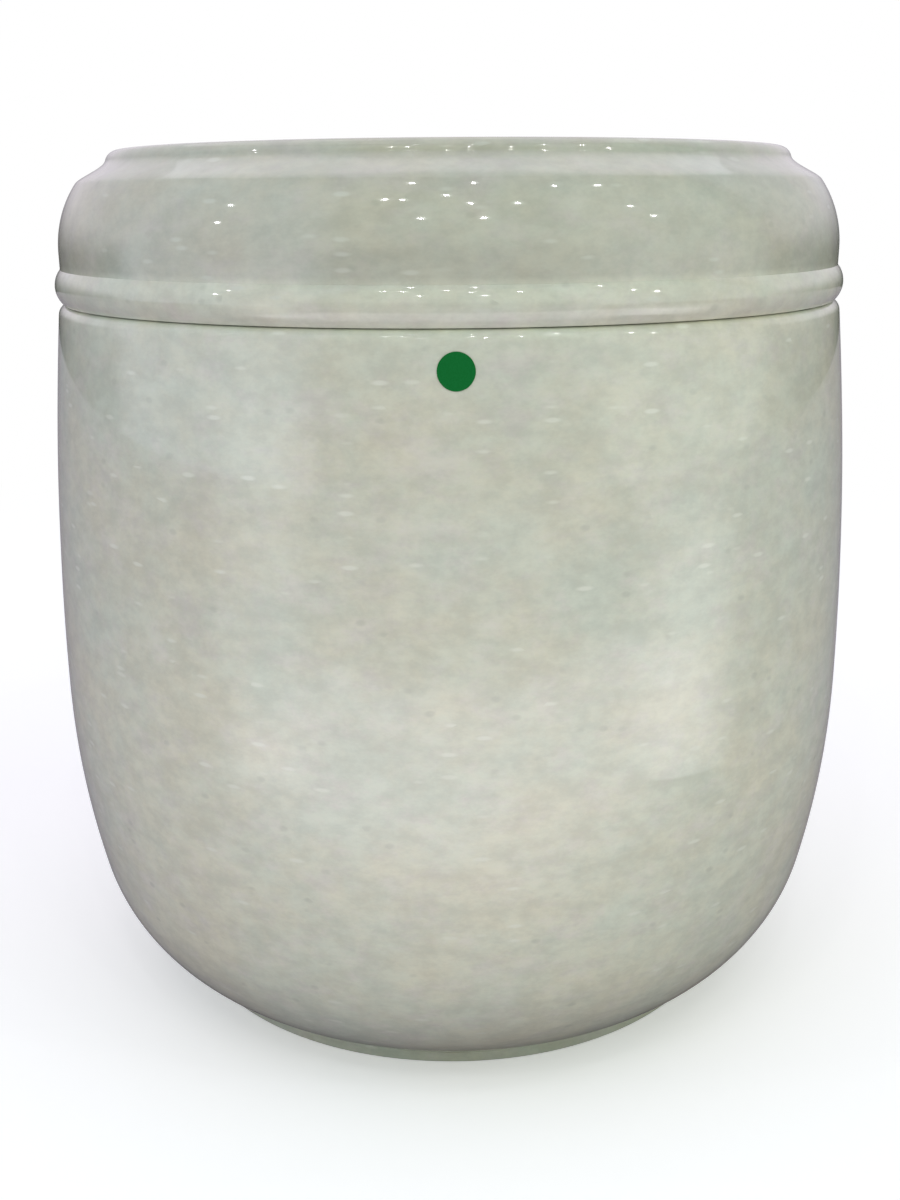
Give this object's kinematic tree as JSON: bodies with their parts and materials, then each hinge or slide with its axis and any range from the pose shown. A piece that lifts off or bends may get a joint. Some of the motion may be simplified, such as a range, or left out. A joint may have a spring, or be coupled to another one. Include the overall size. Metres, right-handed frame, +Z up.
{
  "type": "jade urn",
  "caption": "Turned and polished pale green stone urn with a rounded belly, a low foot ring and a lift-off flat-topped lid with a round bead.",
  "frame": {"origin": "centre of the underside of the foot ring, on the ground", "axes": "+Z up along the urn's turning axis, -Y out of the front, where the sticker is"},
  "size_m": [0.22, 0.22, 0.2275],
  "materials": {
    "jade_body": "polished, pale green with grey-green mottling and fine light flecks",
    "jade_lid": "polished, pale green, a little darker and more olive than the body",
    "green_paper": "plain matte green"
  },
  "bodies": {
    "root": {"urn_body": "jade_body", "urn_lid": "jade_lid", "green_dot": "green_paper"}
  },
  "joints": []
}
